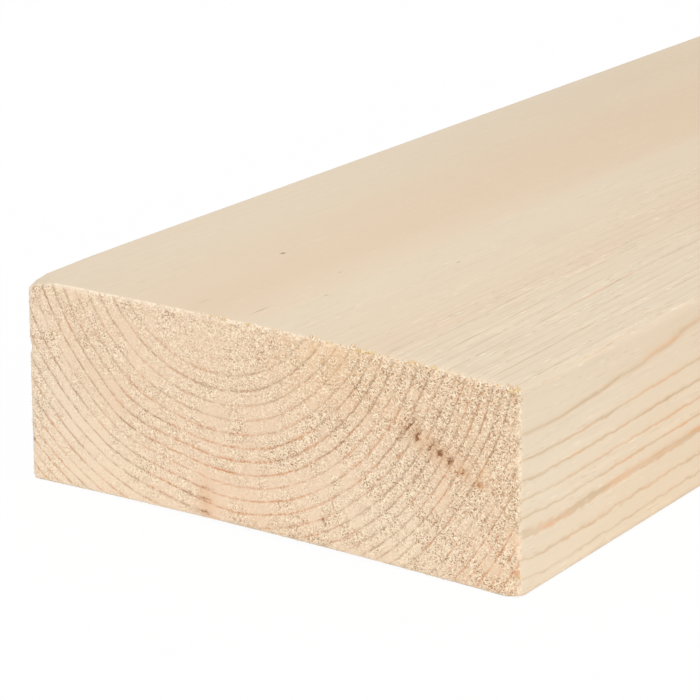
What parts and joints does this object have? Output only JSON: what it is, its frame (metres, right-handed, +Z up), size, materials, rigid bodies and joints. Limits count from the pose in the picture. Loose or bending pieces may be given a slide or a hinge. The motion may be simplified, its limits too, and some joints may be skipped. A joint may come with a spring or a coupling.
{
  "type": "timber plank",
  "caption": "Straight planed softwood plank of rectangular section with eased long edges and square-sawn ends, for framing, joists, studs and general carpentry.",
  "frame": {"origin": "centre of the wide face that the plank lies on", "axes": "+X across the width, +Y along the grain, away from the end that the picture shows, +Z up through the thickness"},
  "size_m": [0.12, 2.4, 0.045],
  "materials": {
    "softwood": "planed bare softwood, sawn ends, no coating"
  },
  "bodies": {
    "root": {"plank": "softwood"}
  },
  "joints": []
}
